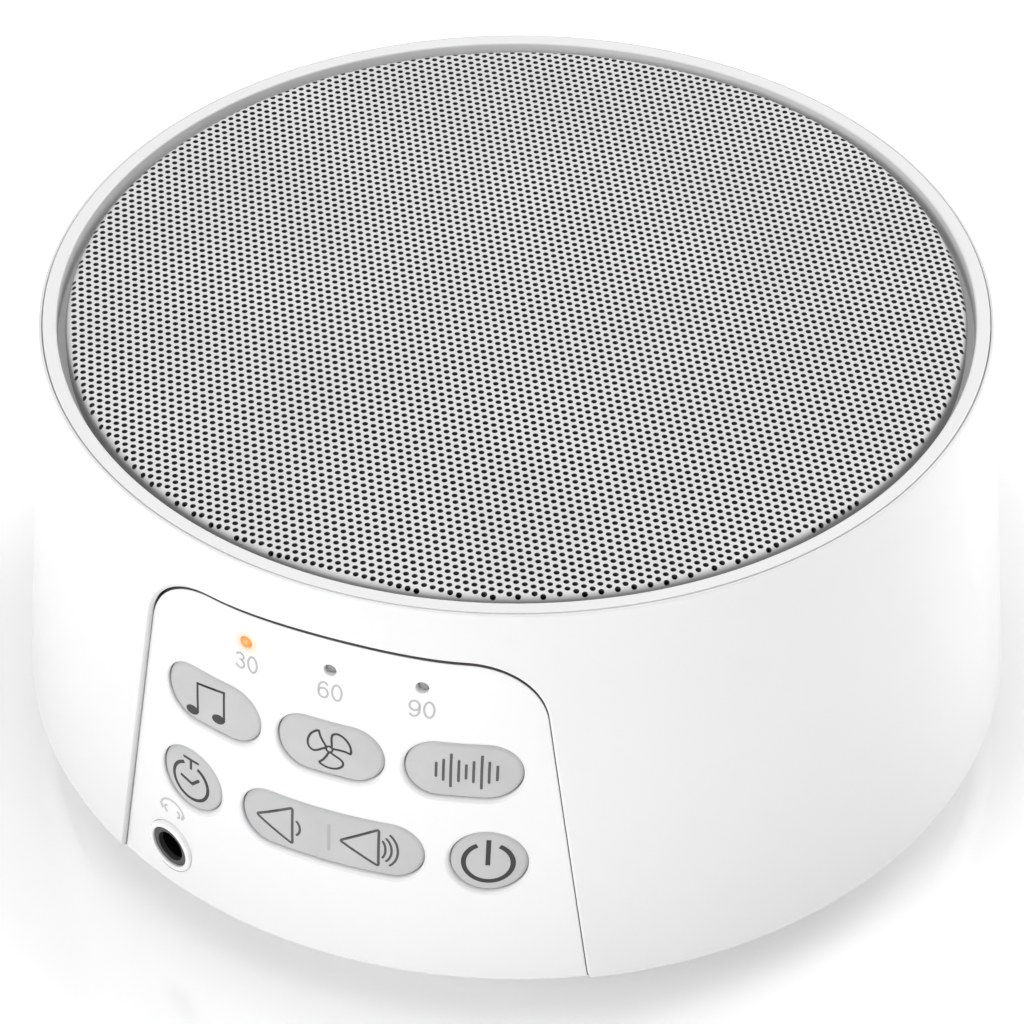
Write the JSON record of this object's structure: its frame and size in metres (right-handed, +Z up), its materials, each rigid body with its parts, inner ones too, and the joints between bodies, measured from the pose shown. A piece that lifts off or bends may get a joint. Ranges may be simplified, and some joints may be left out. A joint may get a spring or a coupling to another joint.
{
  "type": "white noise sound machine",
  "caption": "Low round tabletop sleep-sound machine with a perforated metal speaker grille on top and a sunk front key panel with sound, timer, volume and power keys and a headphone socket.",
  "frame": {"origin": "centre of the circle on which the rubber foot ring stands", "axes": "+Z up along the round body's axis, -Y towards the front key panel, +X to the right seen from the front"},
  "size_m": [0.1117, 0.1113, 0.0554],
  "materials": {
    "body_white": "smooth white ABS, soft gloss",
    "panel_white": "smooth white ABS, soft gloss",
    "base_white": "fine-textured white ABS",
    "grille_metal": "white powder-coated perforated steel",
    "scrim_cloth": "dark open acoustic cloth",
    "key_grey": "light grey silicone, matt",
    "carbon": "carbon-loaded rubber",
    "light_amber": "lit amber light pipe",
    "light_off": "smoked light pipe, unlit",
    "lamp_body": "moulded, cream",
    "circuit_board": "green solder mask on glass-epoxy",
    "dark_plastic": "black moulded plastic",
    "foam": "black foam",
    "basket_steel": "zinc-plated pressed steel",
    "screw_steel": "zinc-plated",
    "cone_paper": "pressed black paper pulp",
    "surround_rubber": "black butyl rubber",
    "coil_copper": "enamelled copper winding",
    "spider_cloth": "resin-stiffened woven damper",
    "ferrite": "matt dark ferrite",
    "foot_rubber": "matt grey rubber",
    "capacitor_can": "sleeved aluminium can",
    "ribbon_film": "flat white cable"
  },
  "bodies": {
    "housing": {"amplifier_chip": "dark_plastic", "base_cover": "base_white", "base_screws": "screw_steel", "board_ribbon": "ribbon_film", "board_screws": "screw_steel", "body_shell": "body_white", "capacitors": "capacitor_can", "cone_surround": "surround_rubber", "control_board": "circuit_board", "control_panel": "panel_white", "grille_scrim": "scrim_cloth", "headphone_jack": "dark_plastic", "indicator_lamps": "lamp_body", "inlet_pin": "screw_steel", "jack_collar": "panel_white", "keypad_mat": "key_grey", "light_pipe_30": "light_amber", "light_pipe_60": "light_off", "light_pipe_90": "light_off", "magnet_ring": "ferrite", "magnet_top_plate": "basket_steel", "magnet_yoke": "basket_steel", "main_board": "circuit_board", "main_board_screws": "screw_steel", "power_inlet": "dark_plastic", "ribbon_connector": "lamp_body", "rubber_foot_ring": "foot_rubber", "sound_chip": "dark_plastic", "speaker_basket": "basket_steel", "speaker_gasket": "foam", "speaker_grille": "grille_metal", "speaker_screws": "screw_steel", "speaker_spider": "spider_cloth", "top_bezel": "body_white"},
    "music_key": {"music_button": "key_grey", "music_contact": "carbon"},
    "fan_key": {"fan_button": "key_grey", "fan_contact": "carbon"},
    "noise_key": {"noise_button": "key_grey", "noise_contact": "carbon"},
    "timer_key": {"timer_button": "key_grey", "timer_contact": "carbon"},
    "volume_key": {"volume_rocker": "key_grey", "volume_contact": "carbon"},
    "power_key": {"power_button": "key_grey", "power_contact": "carbon"},
    "cone_assembly": {"speaker_cone": "cone_paper", "dust_cap": "cone_paper", "voice_coil": "coil_copper"}
  },
  "joints": [
    {"name": "music_press", "type": "slide", "parent": "housing", "child": "music_key", "axis": [0, 1, 0], "range_m": [0, 0.0005], "stiffness_N_per_m": 1500, "springref_m": -0.0006},
    {"name": "fan_press", "type": "slide", "parent": "housing", "child": "fan_key", "axis": [0, 1, 0], "range_m": [0, 0.0005], "stiffness_N_per_m": 1500, "springref_m": -0.0006},
    {"name": "noise_press", "type": "slide", "parent": "housing", "child": "noise_key", "axis": [0, 1, 0], "range_m": [0, 0.0005], "stiffness_N_per_m": 1500, "springref_m": -0.0006},
    {"name": "timer_press", "type": "slide", "parent": "housing", "child": "timer_key", "axis": [0, 1, 0], "range_m": [0, 0.0005], "stiffness_N_per_m": 1500, "springref_m": -0.0006},
    {"name": "power_press", "type": "slide", "parent": "housing", "child": "power_key", "axis": [0, 1, 0], "range_m": [0, 0.0005], "stiffness_N_per_m": 1500, "springref_m": -0.0006},
    {"name": "volume_rock", "type": "hinge", "parent": "housing", "child": "volume_key", "pos_m": [0, -0.0505, 0.0235], "axis": [0, 0, 1], "range_deg": [-2, 2], "stiffness_Nm_per_rad": 2},
    {"name": "cone_travel", "type": "slide", "parent": "housing", "child": "cone_assembly", "axis": [0, 0, 1], "range_m": [-0.001, 0.001], "stiffness_N_per_m": 1400, "deforming": ["cone_surround", "speaker_spider"]}
  ]
}
